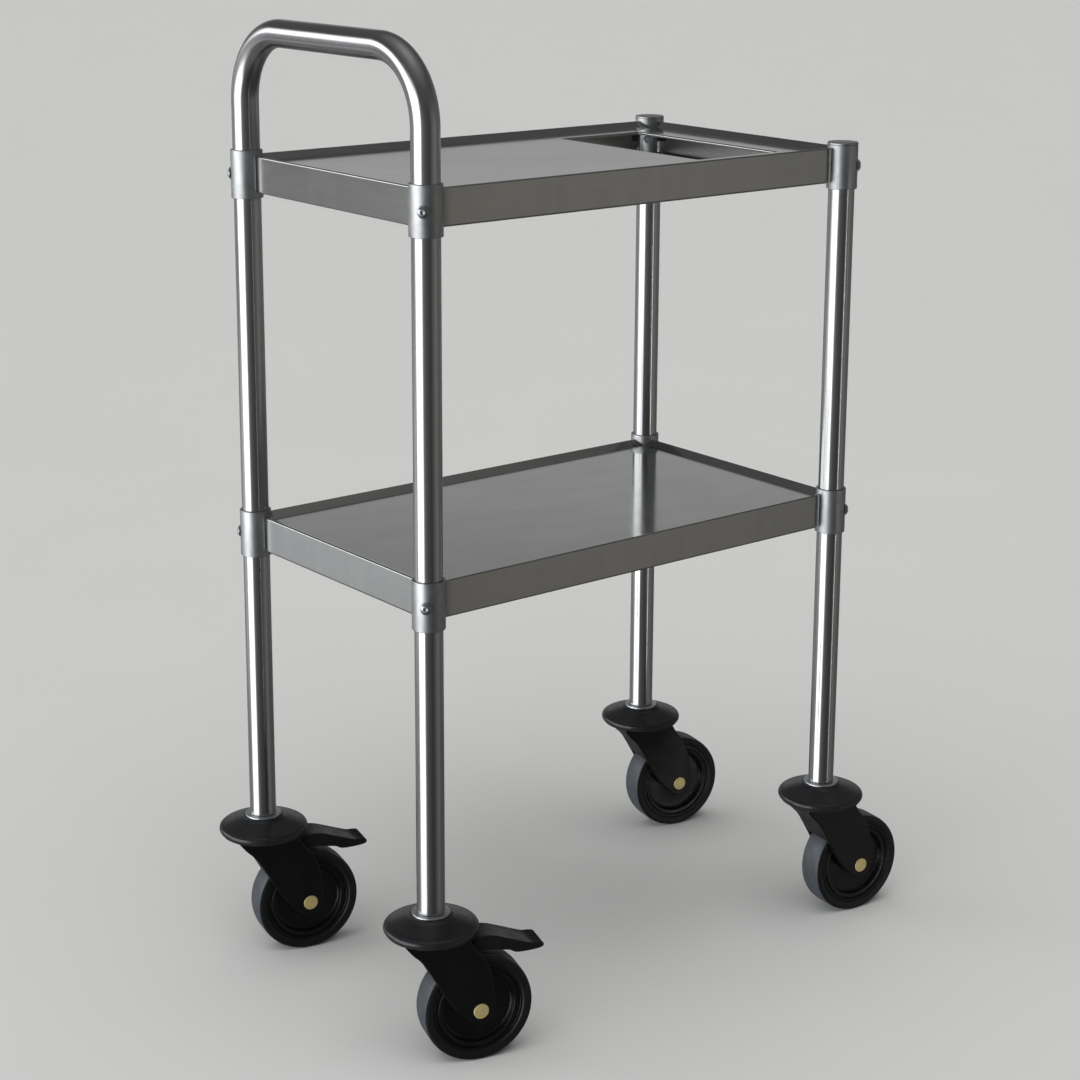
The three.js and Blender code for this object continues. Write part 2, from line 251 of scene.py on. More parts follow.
def turned(profile, sides=TUBE_SIDES, mesh=None):
    """A profile of (radius, height) points turned about Z.

    It starts and ends on the axis, or closes on itself.
    """
    mesh = mesh or bmesh.new()
    closed = profile[0][0] > 0
    biggest = max(radius for radius, _ in profile)
    rings = [circle(max(radius, ON_AXIS), z, sides) for radius, z in profile]
    loft(mesh, rings, loop=closed, around=2 * math.pi * biggest * MM)
    return mesh


def slab(outline, half, edge, mesh=None, steps=4):
    """An outline of (x, z) points made thick along Y, with rounded edges."""
    mesh = mesh or bmesh.new()
    turns = [math.pi / 2 * i / steps for i in range(steps + 1)]
    sections = [(-half + edge * (1 - math.sin(t)), -edge * (1 - math.cos(t))) for t in reversed(turns)]
    sections += [(-y, inset) for y, inset in reversed(sections)]
    rings = [[(x, y, z) for x, z in grown(outline, inset)] for y, inset in sections]
    loft(mesh, rings, caps=True, around=0.3)
    return mesh


def object_of(name, mesh, angle=35):
    """The object of a bmesh drawn in millimetres: welded, facing outwards and smooth up to an angle."""
    bmesh.ops.remove_doubles(mesh, verts=mesh.verts, dist=WELD)
    bmesh.ops.recalc_face_normals(mesh, faces=mesh.faces)
    bmesh.ops.scale(mesh, vec=(MM, MM, MM), verts=mesh.verts)
    data = bpy.data.meshes.new(name)
    mesh.to_mesh(data)
    mesh.free()
    data.shade_smooth()
    data.set_sharp_from_angle(angle=math.radians(angle))
    made = bpy.data.objects.new(name, data)
    scene.collection.objects.link(made)
    return made


def cut(body, *tools):
    """Takes the tools away from a body, and deletes them."""
    for tool in tools:
        step = body.modifiers.new("cut", "BOOLEAN")
        step.operation = "DIFFERENCE"
        step.solver = "EXACT"
        step.object = tool
    bpy.context.view_layer.update()
    shape = body.evaluated_get(bpy.context.evaluated_depsgraph_get())
    body.data = bpy.data.meshes.new_from_object(shape)
    body.modifiers.clear()
    for tool in tools:
        bpy.data.objects.remove(tool)
    return body


def smooth_again(body, angle):
    """Shades a cut body smooth up to an angle, with the large faces kept flat."""
    body.data.shade_smooth()
    body.data.set_sharp_from_angle(angle=math.radians(angle))
    steady = body.modifiers.new("steady_normals", "WEIGHTED_NORMAL")
    steady.keep_sharp = True
    return body


def show(piece, matrix, body, slot, materials, *nodes):
    """Puts a finished piece in its place on a body, in the stead of CAD nodes."""
    for one in materials:
        piece.data.materials.append(one)
    piece.matrix_world = matrix
    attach(piece, body)
    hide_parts(*nodes)
    return piece


def copy_of(name, piece):
    twin = piece.copy()
    twin.data = piece.data.copy()
    twin.name = name
    scene.collection.objects.link(twin)
    return twin


def middle(node):
    """The middle of a CAD node's box, in metres."""
    low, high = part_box(node)
    return (low + high) / 2


# ---------- materials ----------
class Finish:
    """A material and its nodes, with short names for the ones used here."""

    def __init__(self, name, color, roughness, metallic=0.0, coordinates="Object"):
        self.material = bpy.data.materials.new(name)
        self.material.use_nodes = True
        self.tree = self.material.node_tree
        self.shader = self.tree.nodes["Principled BSDF"]
        self.color = (*color, 1)
        self.set("Base Color", self.color)
        self.set("Roughness", roughness)
        self.set("Metallic", metallic)
        self.place = self.tree.nodes.new("ShaderNodeTexCoord").outputs[coordinates]

    def set(self, socket, value):
        self.shader.inputs[socket].default_value = value

    def link(self, out, socket):
        self.tree.links.new(out, socket)

    def stretched(self, scale):
        """The material's coordinates times a scale along each axis."""
        node = self.tree.nodes.new("ShaderNodeMapping")
        node.inputs["Scale"].default_value = scale
        self.link(self.place, node.inputs["Vector"])
        return node.outputs["Vector"]

    def noise(self, scale, detail=3.0, roughness=0.55, stretch=(1, 1, 1)):
        node = self.tree.nodes.new("ShaderNodeTexNoise")
        node.inputs["Scale"].default_value = scale
        node.inputs["Detail"].default_value = detail
        node.inputs["Roughness"].default_value = roughness
        self.link(self.stretched(stretch), node.inputs["Vector"])
        return node.outputs["Fac"]

    def spread(self, value, low, high, start=0.35, end=0.65):
        """A value between start and end, stretched to lie between low and high."""
        node = self.tree.nodes.new("ShaderNodeMapRange")
        node.inputs["From Min"].default_value = start
        node.inputs["From Max"].default_value = end
        node.inputs["To Min"].default_value = low
        node.inputs["To Max"].default_value = high
        self.link(value, node.inputs["Value"])
        return node.outputs["Result"]

    def total(self, first, second):
        node = self.tree.nodes.new("ShaderNodeMath")
        node.operation = "ADD"
        self.link(first, node.inputs[0])
        self.link(second, node.inputs[1])
        return node.outputs["Value"]

    def tint(self, value, other):
        """Varies the colour towards another one where the value is high."""
        node = self.tree.nodes.new("ShaderNodeMix")
        node.data_type = "RGBA"
        node.inputs["A"].default_value = self.color
        node.inputs["B"].default_value = (*other, 1)
        self.link(value, node.inputs["Factor"])
        self.link(node.outputs["Result"], self.shader.inputs["Base Color"])

    def rough(self, value):
        self.link(value, self.shader.inputs["Roughness"])

    def bump(self, value, distance):
        node = self.tree.nodes.new("ShaderNodeBump")
        node.inputs["Distance"].default_value = distance
        node.inputs["Strength"].default_value = 1.0
        self.link(value, node.inputs["Height"])
        self.link(node.outputs["Normal"], self.shader.inputs["Normal"])

    def grain(self, amount):
        """Stretches highlights along U, as fine grinding marks across it do."""
        tangent = self.tree.nodes.new("ShaderNodeTangent")
        tangent.direction_type = "UV_MAP"
        self.set("Anisotropic", amount)
        self.link(tangent.outputs["Tangent"], self.shader.inputs["Tangent"])


def polished_steel():
    made = Finish("polished_steel", (0.50, 0.50, 0.505), 0.2, 1.0, "UV")
    streaks = made.noise(60, 2, stretch=(0.35, 22, 1))
    made.tint(made.spread(streaks, 0, 1), (0.47, 0.47, 0.48))
    smears = made.noise(14, 3, stretch=(1, 2, 1))
    made.rough(made.total(made.spread(streaks, 0.17, 0.21), made.spread(smears, 0.0, 0.03)))
    made.grain(0.7)
    return made.material


def satin_steel():
    made = Finish("satin_steel", (0.45, 0.457, 0.462), 0.4, 1.0)
    mottle = made.noise(160, 4, 0.7)
    made.tint(made.spread(mottle, 0, 1), (0.39, 0.397, 0.402))
    made.rough(made.spread(made.noise(55, 3), 0.36, 0.46))
    made.bump(made.noise(2600, 2), 0.00004)
    return made.material


def floor_steel():
    made = Finish("sheet_steel_floor", (0.472, 0.487, 0.478), 0.13, 1.0)
    smears = made.noise(9, 4, 0.6)
    made.tint(made.spread(made.noise(30, 4, stretch=(0.3, 1, 1)), 0, 1), (0.433, 0.447, 0.438))
    fine = made.noise(420, 2, stretch=(0.06, 1, 1))
    made.rough(made.total(made.spread(smears, 0.08, 0.12), made.spread(fine, 0, 0.03)))
    made.bump(made.noise(4.5, 1), 0.0004)
    return made.material


def skirt_steel():
    made = Finish("sheet_steel_skirt", (0.45, 0.45, 0.44), 0.22, 1.0)
    fine = made.noise(520, 2, stretch=(0.05, 0.05, 1))
    made.tint(made.spread(made.noise(85, 3, stretch=(1, 1, 0.05)), 0, 1), (0.425, 0.428, 0.422))
    made.rough(made.total(made.spread(made.noise(12, 3), 0.16, 0.21), made.spread(fine, 0, 0.04)))
    made.bump(made.noise(7, 1), 0.0003)
    made.grain(0.6)
    return made.material


def zinc():
    made = Finish("zinc", (0.62, 0.67, 0.70), 0.34, 1.0)
    made.tint(made.spread(made.noise(260, 4, 0.7), 0, 1), (0.74, 0.76, 0.77))
    made.rough(made.spread(made.noise(120, 3), 0.26, 0.42))
    made.bump(made.noise(1500, 2), 0.00003)
    return made.material


def bolt_steel():
    made = Finish("bolt_steel", (0.42, 0.43, 0.45), 0.32, 1.0)
    made.tint(made.spread(made.noise(700, 3), 0, 1), (0.36, 0.37, 0.39))
    made.rough(made.spread(made.noise(300, 3), 0.26, 0.38))
    return made.material


def brass():
    made = Finish("brass", (0.86, 0.72, 0.34), 0.5, 0.6)
    made.tint(made.spread(made.noise(420, 4, 0.7), 0, 1), (0.74, 0.61, 0.28))
    made.rough(made.spread(made.noise(250, 3), 0.36, 0.55))
    made.bump(made.noise(1800, 2), 0.00004)
    return made.material


def moulded(name, color, dusty, rough_range, grain):
    made = Finish(name, color, 0.5)
    made.set("Specular IOR Level", 0.45)
    made.tint(made.spread(made.noise(38, 5, 0.65), 0, 1, 0.38, 0.75), dusty)
    made.rough(made.spread(made.noise(70, 4), *rough_range))
    made.bump(made.noise(grain, 3), 0.00006)
    return made.material


def rubber(name, color, dusty):
    made = Finish(name, color, 0.45)
    made.set("Specular IOR Level", 0.5)
    made.tint(made.spread(made.noise(45, 5, 0.7), 0, 1, 0.35, 0.7), dusty)
    made.rough(made.spread(made.noise(110, 4), 0.36, 0.52))
    made.bump(made.noise(1700, 3), 0.0001)
    return made.material


POLISHED = polished_steel()
SATIN = satin_steel()
TRAY_FLOOR = floor_steel()
TRAY_SKIRT = skirt_steel()
ZINC = zinc()
BOLT_STEEL = bolt_steel()
BRASS = brass()
DISC_PLASTIC = moulded("disc_plastic", (0.012, 0.012, 0.0135), (0.018, 0.018, 0.020), (0.2, 0.32), 1400)
FORK_PLASTIC = moulded("fork_plastic", (0.002, 0.002, 0.0024), (0.004, 0.004, 0.0046), (0.30, 0.42), 1100)
HUB_PLASTIC = moulded("hub_plastic", (0.003, 0.003, 0.0035), (0.005, 0.005, 0.006), (0.2, 0.3), 1500)
PEDAL_PLASTIC = moulded("pedal_plastic", (0.004, 0.004, 0.0045), (0.010, 0.010, 0.011), (0.32, 0.46), 700)
SOCKET_PLASTIC = moulded("socket_plastic", (0.09, 0.09, 0.10), (0.12, 0.12, 0.13), (0.5, 0.65), 900)
RUBBER = rubber("rubber", (0.003, 0.0035, 0.004), (0.005, 0.0056, 0.0066))
# The tread rubber is lighter and bluer than the sidewall rubber: a painted highlight standing in for the
# window light that the tread catches.
TREAD_RUBBER_PAINTED_HIGHLIGHT = rubber("rubber_tread_painted_highlight", (0.030, 0.036, 0.044), (0.052, 0.061, 0.072))


# ---------- where the legs and casters stand ----------
legs = {}
casters = {}
for corner in CORNERS:
    stem = middle(f"stem_{corner}")
    hub = middle(f"hub_{corner}")
    legs[corner] = Vector((stem.x, stem.y, 0))
    yaw = math.atan2(hub.y - stem.y, hub.x - stem.x)
    casters[corner] = Matrix.Translation(legs[corner]) @ Matrix.Rotation(yaw, 4, "Z")
trail = (middle("hub_rear_left") - middle("stem_rear_left")).xy.length / MM
leg_half_x = (legs["front_left"].x - legs["rear_left"].x) / 2 / MM
leg_half_y = (legs["rear_left"].y - legs["rear_right"].y) / 2 / MM


# ---------- handle and legs ----------
def tube_rings(line, radius):
    """Rings around a line of (y, z, direction in degrees) stations in the plane x = 0."""
    rings = []
    for y, z, degrees in line:
        turn = math.radians(degrees)
        across = Vector((0, math.sin(turn), -math.cos(turn)))
        ring = []
        for i in range(TUBE_SIDES):
            angle = 2 * math.pi * i / TUBE_SIDES
            point = Vector((0, y, z)) + across * (radius * math.cos(angle))
            ring.append(point + Vector((radius * math.sin(angle), 0, 0)))
        rings.append(ring)
    return rings


def handle_line(bottom, bar_z):
    """Stations of the handle's middle line, from the left leg's foot over the bar to the right one's."""
    side = leg_half_y - HANDLE_BEND
    line = [(leg_half_y, bottom, 90)]
    for sign, start in ((1, 0), (-1, 90)):
        for i in range(BEND_STEPS + 1):
            degrees = start + 90 * i / BEND_STEPS
            turn = math.radians(degrees)
            y = sign * side + HANDLE_BEND * math.cos(turn)
            line.append((y, bar_z - HANDLE_BEND + HANDLE_BEND * math.sin(turn), degrees + 90))
    return [*line, (-leg_half_y, bottom, 270)]


def add_handle():
    low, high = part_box("handle_tube")
    line = handle_line(low.z / MM, high.z / MM - TUBE_RADIUS)
    mesh = bmesh.new()
    rings = tube_rings(line, TUBE_RADIUS) + list(reversed(tube_rings(line, TUBE_RADIUS - TUBE_WALL)))
    loft(mesh, rings, loop=True, around=2 * math.pi * TUBE_RADIUS * MM)
    piece = object_of("handle", mesh)
    place = Matrix.Translation((legs["rear_left"].x, 0, 0))
    show(piece, place, "frame", "polished_steel", [POLISHED], "handle_tube")


def add_leg_tube(corner):
    low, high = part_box(f"leg_tube_{corner}")
    inner = TUBE_RADIUS - TUBE_WALL
    bottom, top = low.z / MM, high.z / MM
    profile = [(inner, bottom), (TUBE_RADIUS - 0.3, bottom), (TUBE_RADIUS, bottom + 0.3),
               (TUBE_RADIUS, top), (inner, top)]
    piece = object_of(f"leg_{corner}", turned(profile))
    place = Matrix.Translation(legs[corner])
    show(piece, place, "frame", "polished_steel", [POLISHED], f"leg_tube_{corner}")


def add_collar(level, corner):
    low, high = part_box(f"collar_{level}_{corner}")
    bottom, top = low.z / MM, high.z / MM
    capped = level == "upper" and corner.startswith("front")
    profile = filleted([
        (COLLAR_BORE, bottom, COLLAR_BORE_EDGE), (COLLAR_RADIUS, bottom, COLLAR_EDGE),
        (COLLAR_RADIUS, top, CAPPED_EDGE if capped else COLLAR_EDGE), (COLLAR_BORE, top, COLLAR_BORE_EDGE),
    ], closed=True)
    piece = object_of(f"collar_{level}_{corner}_sleeve", turned(profile))
    place = Matrix.Translation(legs[corner])
    show(piece, place, "frame", "satin_steel", [SATIN], f"collar_{level}_{corner}")


def add_cap(corner):
    low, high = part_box(f"cap_{corner}")
    bottom, top = low.z / MM, high.z / MM
    under = top - CAP_THICKNESS
    profile = filleted([
        (0, bottom), (CAP_PLUG, bottom, 0.6), (CAP_PLUG, under), (COLLAR_RADIUS, under, CAPPED_EDGE),
        (COLLAR_RADIUS, top, 0.9), (0, top),
    ])
    piece = object_of(f"cap_{corner}_disc", turned(profile))
    show(piece, Matrix.Translation(legs[corner]), "frame", "satin_steel", [SATIN], f"cap_{corner}")


def bolt_mesh():
    """A button-head bolt with a hexagon socket along +Z, and its nut on the other end."""
    seat = COLLAR_RADIUS + BOLT_GAP
    top = seat + BOLT_HEAD_HEIGHT
    socket_floor = top - SOCKET_DEPTH
    flange = [(BOLT_FLANGE - 0.2, seat), (BOLT_FLANGE, seat + 0.25), (BOLT_FLANGE - 0.15, seat + 0.75)]
    dome = filleted([
        (BOLT_HEAD, seat + 0.9, 0.2), (BOLT_HEAD, seat + 1.3, 1.0), (2.6, top, 1.2), (2.2, top),
    ])
    mesh = bmesh.new()
    loft(mesh, [
        circle(ON_AXIS, seat, BOLT_SIDES),
        *[circle(radius, z, BOLT_SIDES) for radius, z in (*flange, *dome)],
        hexagon(SOCKET_FLATS / 2, top - 0.1, BOLT_SIDES),
        hexagon(SOCKET_FLATS / 2, socket_floor, BOLT_SIDES),
        circle(ON_AXIS, socket_floor - 0.4, BOLT_SIDES),
    ], around=0.03)
    add_nut(mesh, -seat)
    return mesh


def add_nut(mesh, seat):
    """Adds the nut on the collar's inner side, with the bolt's end standing out of it."""
    half_flats = NUT_RADIUS * math.cos(math.pi / 6)
    end = seat - NUT_HEIGHT
    loft(mesh, [
        circle(ON_AXIS, seat, BOLT_SIDES),
        circle(half_flats, seat, BOLT_SIDES),
        hexagon(half_flats, seat - NUT_CHAMFER, BOLT_SIDES),
        hexagon(half_flats, end + NUT_CHAMFER, BOLT_SIDES),
        circle(half_flats, end, BOLT_SIDES),
        circle(ON_AXIS, end, BOLT_SIDES),
    ], around=0.03)
    tip = [(0, end + 0.2), (2.8, end + 0.2), (2.8, end - 0.8), (2.3, end - 1.3), (0, end - 1.3)]
    turned(tip, BOLT_SIDES, mesh)


def add_bolt(level, corner, pattern):
    low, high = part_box(f"bolt_{level}_{corner}")
    outward_x = math.copysign(1, legs[corner].x - middle("upper_shelf").x)
    outward_y = math.copysign(1, legs[corner].y)
    turn = Matrix.Rotation(math.atan2(outward_y, outward_x), 4, "Z")
    place = Matrix.Translation((legs[corner].x, legs[corner].y, (low.z + high.z) / 2))
    place = place @ turn @ Matrix.Rotation(math.pi / 2, 4, "Y")
    piece = copy_of(f"bolt_{level}_{corner}_and_nut", pattern)
    show(piece, place, "frame", "polished_steel", [], f"bolt_{level}_{corner}")


# ---------- shelves ----------
def corner_ring(half_x, half_y, z, inset):
    """A rectangle of the given half sizes as one ring.

    Its corners are round at the skirt and sharp at the border's foot. A point on each side of a corner
    keeps the corner's shading off the long sides.
    """
    radius = max(0, SKIRT_CORNER * (1 - inset / BORDER_WIDTH))
    reach = SKIRT_CORNER + SKIRT_CORNER_MARGIN
    ring = []
    for sx, sy, start in QUARTERS:
        x, y = sx * (half_x - radius), sy * (half_y - radius)
        corner = arc(x, y, radius, start, start + 90, CORNER_STEPS)
        on_x_side = (sx * half_x, sy * (leg_half_y - reach))
        on_y_side = (sx * (leg_half_x - reach), sy * half_y)
        first, last = (on_x_side, on_y_side) if sx * sy > 0 else (on_y_side, on_x_side)
        ring += [(px, py, z) for px, py in (first, *corner, last)]
    return ring


def hole_ring(grow, z):
    """The opening's outline, grown by a distance, with as many points as corner_ring makes."""
    centre_x = (CUTOUT["min_x"] + CUTOUT["max_x"]) / 2
    half_x = (CUTOUT["max_x"] - CUTOUT["min_x"]) / 2 + grow
    half_y = CUTOUT["half_y"] + grow
    radius = CUTOUT["corner"] + grow
    ring = []
    for sx, sy, start in QUARTERS:
        x, y = centre_x + sx * (half_x - radius), sy * (half_y - radius)
        corner = arc(x, y, radius, start, start + 90, CORNER_STEPS)
        ring += [(px, py, z) for px, py in (corner[0], *corner, corner[-1])]
    return ring


def tray_section():
    """(inset, height) points round the sheet's section, from the floor's top to its underside."""
    under = FLOOR_DROP + SHEET
    flange = SHEET + RETURN_FLANGE
    floor_edge = BORDER_WIDTH + FLOOR_EDGE
    return filleted([
        (floor_edge, -FLOOR_DROP), (BORDER_WIDTH, -FLOOR_DROP, FLOOR_BEND),
        (0, RIM_PEAK, RIM_ROUNDING), (0, -SKIRT_HEIGHT, SKIRT_FOLD),
        (flange, -SKIRT_HEIGHT), (flange, SHEET - SKIRT_HEIGHT), (SHEET, SHEET - SKIRT_HEIGHT, 0.8),
        (SHEET, -2.2), (BORDER_WIDTH, -under, FLOOR_BEND), (floor_edge, -under),
    ])


def hem_section():
    """(growth, height) points round the opening's folded edge, from the floor's top to its underside."""
    hem = CUTOUT["hem"]
    radius = SHEET
    bend = arc(radius, -FLOOR_DROP - radius, radius, 90, 270, 8)
    under = -FLOOR_DROP - 2 * radius
    floor_edge = hem + HEM_MARGIN
    return [
        (floor_edge, -FLOOR_DROP), *bend, (hem, under), (hem, under + radius - 0.05),
        (floor_edge, under + radius),
    ]


def tray_mesh(has_cutout):
    half_x, half_y = leg_half_x + TRAY_OVERHANG, leg_half_y + TRAY_OVERHANG
    rings = [corner_ring(half_x - inset, half_y - inset, z, inset) for inset, z in tray_section()]
    mesh = bmesh.new()
    if has_cutout:
        holes = [hole_ring(grow, z) for grow, z in hem_section()]
        loft(mesh, [*rings, *reversed(holes)], loop=True, around=1.5)
    else:
        loft(mesh, rings, caps=True, around=1.5)
    return mesh


def notch_tools():
    """Rods that take the tray's corners away round the legs' collars."""
    notch = COLLAR_RADIUS + CORNER_GAP
    below = -2 * SKIRT_HEIGHT
    outline = [(0, below), (notch, below), (notch, NOTCH_ABOVE), (0, NOTCH_ABOVE)]
    tools = []
    for sx, sy, _ in QUARTERS:
        rod = object_of("notch", turned(outline))
        rod.location = Vector((sx * leg_half_x, sy * leg_half_y, 0)) * MM
        tools.append(rod)
    return tools


def add_shelf(level):
    low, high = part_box(f"{level}_shelf")
    piece = cut(object_of(f"{level}_tray", tray_mesh(level == "upper")), *notch_tools())
    smooth_again(piece, TRAY_SHARP_DEGREES)
    place = Matrix.Translation(((low.x + high.x) / 2, 0, high.z))
    show(piece, place, "frame", "sheet_steel", [TRAY_FLOOR, TRAY_SKIRT], f"{level}_shelf")
    for face in piece.data.polygons:
        if abs(face.normal.z) < STEEP:
            face.material_index = 1


# ---------- casters ----------
# Forks, bumpers, washers and pedals are drawn with the swivel axis on Z, the floor at zero and the wheel
# towards +X. Hubs, tyres, axles and hinge pins are turned about Z and laid along Y when they are placed.
def bumper_mesh():
    low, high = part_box("bumper_rear_left")
    bottom, top = low.z / MM, high.z / MM
    profile = [(STEM_HOLE, bottom), (36.5, bottom), (40.2, bottom + 0.8)]
    profile += arc(BUMPER_RADIUS - BUMPER_LIP, bottom + 5.2, BUMPER_LIP, -60, 78, 12)
    crown = [(37.6, bottom + 9.6), (36, bottom + 10.1), (32, bottom + 11.6), (26, bottom + 13.7),
             (21, bottom + 15.3), (18.4, top)]
    profile += smooth_line(crown, 4)
    profile += [(17.6, top), (STEM_HOLE, top)]
    return turned(profile, BUMPER_SIDES)


def washer_mesh():
    low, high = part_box("washer_rear_left")
    bottom, top = low.z / MM, high.z / MM
    return turned(filleted([
        (STEM_HOLE, bottom), (WASHER_RADIUS, bottom, 0.5), (WASHER_RADIUS, top, 0.6), (STEM_HOLE, top),
    ], closed=True))


def fork_outline():
    """Side view of the fork as (x, z) points, counter-clockwise from the top at the back."""
    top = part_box("fork_rear_left")[1].z / MM
    foot = arc(trail, WHEEL_RADIUS, FORK_FOOT, 212, 360, 14)
    front = smooth_line([
        (-29, top - 3.5), (-22.5, top - 11.5), (-13.5, 105), (-2, 85.6), (8, 67.5), (19, 52),
    ], 4)
    back = smooth_line([
        (54, WHEEL_RADIUS + 4), (53.5, 67), (51.8, 78), (49.6, 89), (45, 99.2), (36, 111.3),
        (29.5, top - 3.5),
    ], 4)
    return [(-28.5, top), *front, *foot, *back, (28.5, top)]


def slot_tool(outline):
    """A tool as wide as the fork's slot, from its (x, z) outline."""
    mesh = bmesh.new()
    sides = [[(x, y, z) for x, z in outline] for y in (-FORK_SLOT_HALF, FORK_SLOT_HALF)]
    loft(mesh, sides, caps=True)
    return object_of("slot", mesh)


def fork_object(name, braked):
    """A fork with its slot for the wheel, and room for the pedal when it is braked."""
    fork = object_of(name, slab(fork_outline(), FORK_HALF, FORK_EDGE))
    cut(fork, slot_tool(full_circle(trail, WHEEL_RADIUS, WHEEL_ARCH, WHEEL_ARCH_SIDES)))
    if braked:
        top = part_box("fork_rear_left")[1].z / MM - 4
        x, z = PEDAL_HINGE
        round_the_hinge = arc(x, z, 5.4, 120, 240, 8)
        cut(fork, slot_tool([(x, z - 8), (80, z - 8), (80, top), (x - 3, top), *round_the_hinge]))
    return smooth_again(fork, FORK_SHARP_DEGREES)


def from_half(half):
    """A wheel's closed section from its upper half, which runs from the bore outwards.

    The half's last point lies on the middle plane. It only ends the last fillet and is left out.
    """
    upper = half[:-1]
    return [*[(radius, -z) for radius, z in upper], *reversed(upper)]


def hub_mesh():
    half = filleted([
        (AXLE_RADIUS, 14.2), (9.5, 14.2, 0.8), (11.5, 7, 2.5), (32.6, 6.2, 2.2), (34.2, 11.8, 0.7),
        (37.4, 12.2, 0.7), (38.1, 10.6, 0.4), (39.2, 10.6, 0.4), (39.8, 12.4, 0.5), (HUB_RADIUS, 12.4, 0.4),
        (HUB_RADIUS, 0),
    ])
    return turned(from_half(half), HUB_SIDES)


def tyre_mesh():
    half = filleted([
        (TYRE_INNER - 0.3, 12.2, 0.4), (TYRE_INNER + 0.9, 13.2, 0.6), (47.2, TREAD_HALF, 1.2),
        (WHEEL_RADIUS - 0.6, 12.9, 1.8), (WHEEL_RADIUS, 9, 6), (WHEEL_RADIUS, 0),
    ])
    return turned(from_half(half), TYRE_SIDES)


def rivet_mesh():
    """The wheel's axle, with a domed end on each side of the fork."""
    inner = FORK_HALF + RIVET_GAP
    half = filleted([
        (AXLE_RADIUS - 0.3, inner), (RIVET_RADIUS, inner, 0.15), (RIVET_RADIUS, inner + 0.8, 0.5),
        (RIVET_RADIUS - 1.4, inner + 1.15, 0.6), (0, inner + 1.25),
    ])
    lower = [(radius, -z) for radius, z in reversed(half)]
    return turned([*lower, *half], RIVET_SIDES)


def pedal_section(y):
    """The pedal's side outline at a distance y from its middle, as (x, z) points."""
    phase = math.pi * PEDAL_TEETH * (y + PEDAL_HALF) / (2 * PEDAL_HALF)
    tooth = TOOTH_DEPTH * abs(math.sin(phase)) ** 0.6
    dish = PEDAL_DISH * (y / PEDAL_HALF) ** 2
    top = [(33, 113.6), (38, 117.4), (43, 119.2), (48, 119.5 + dish), (57, 117.7 + dish),
           (65, 114.7 + dish), (72.7, 111.8 + dish), (81, 108.6 + dish), (89, 105.7 + dish),
           (93, 104.6 + dish + 0.5 * tooth)]
    toe = [(97.5 + 0.6 * tooth, 103.6 + tooth), (99.6 + tooth, 102.3 + 0.6 * tooth),
           (99.8 + 0.8 * tooth, 101)]
    under = [(98.5, 100), (93, 99.3), (84, 99), (76.5, 99.3), (72.5, 100.6), (69, 102.6), (62, 103.9),
             (56, 105), (48, 106.5), (40, 106.2), (33, 105.8)]
    return smooth_line([*top, *toe], 2), smooth_line(under, 2)


def pedal_mesh():
    """A dished foot pedal with a toothed toe and a barrel round its hinge pin."""
    mesh = bmesh.new()
    flat = PEDAL_HALF - PEDAL_EDGE
    turns = [math.pi / 2 * i / 4 for i in range(5)]
    rim = [(flat + PEDAL_EDGE * math.sin(t), PEDAL_EDGE * (1 - math.cos(t))) for t in turns]
    stations = [(-y, inset) for y, inset in reversed(rim)]
    count = PEDAL_TEETH * TOOTH_STATIONS
    stations += [(-flat + 2 * flat * i / count, 0) for i in range(1, count)] + rim
    rings = []
    for y, inset in stations:
        top, under = pedal_section(y)
        outline = [*top, *under]
        outline.reverse()
        rings.append([(x, y, z) for x, z in grown(outline, -inset)])
    loft(mesh, rings, caps=True, around=0.2)
    x, z = PEDAL_HINGE
    barrel = full_circle(x, z, PEDAL_BARREL, PEDAL_BARREL_SIDES)
    return slab(barrel, PEDAL_HALF, 0.4, mesh)


def pin_mesh():
    half = FORK_HALF - PIN_INSET
    return turned([(0, -half), (PIN_RADIUS, -half), (PIN_RADIUS, half), (0, half)], PIN_SIDES)


def laid_along_y(centre):
    """Puts a shape made about Z at a centre, with its axis along Y."""
    return Matrix.Translation(centre) @ Matrix.Rotation(math.pi / 2, 4, "X")


def add_caster(corner, patterns):
    place = casters[corner]
    leg = Matrix.Translation(legs[corner])
    caster, wheel = f"caster_{corner}", f"wheel_{corner}"
    braked = f"pedal_{corner}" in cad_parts
    axle = place @ laid_along_y(Vector((trail, 0, WHEEL_RADIUS)) * MM)

    def add(kind, where, body, slot, material, node):
        piece = copy_of(f"{node}_{kind}", patterns[kind])
        return show(piece, where, body, slot, [material], node)

    add("disc", leg, caster, "black_plastic", DISC_PLASTIC, f"bumper_{corner}")
    kind = "braked_fork" if braked else "plain_fork"
    add(kind, place, caster, "black_plastic", FORK_PLASTIC, f"fork_{corner}")
    add("rivet", axle, caster, "brass", BRASS, f"axle_{corner}")
    add("dish", axle, wheel, "black_plastic", HUB_PLASTIC, f"hub_{corner}")
    tyre = add("tread", axle, wheel, "rubber", RUBBER, f"tyre_{corner}")
    tyre.data.materials.append(TREAD_RUBBER_PAINTED_HIGHLIGHT)
    # Faces beyond the tread line take the lighter, bluer tread rubber, which paints a highlight onto the
    # tread.
    for face in tyre.data.polygons:
        if face.center.xy.length > TREAD_FROM * WHEEL_RADIUS * MM:
            face.material_index = 1
    add("ring", leg, "frame", "zinc", ZINC, f"washer_{corner}")
    if braked:
        hinge = place @ laid_along_y(Vector((PEDAL_HINGE[0], 0, PEDAL_HINGE[1])) * MM)
        add("plate", place, f"brake_{corner}", "black_plastic", PEDAL_PLASTIC, f"pedal_{corner}")
        add("rod", hinge, caster, "zinc", ZINC, f"pedal_pin_{corner}")


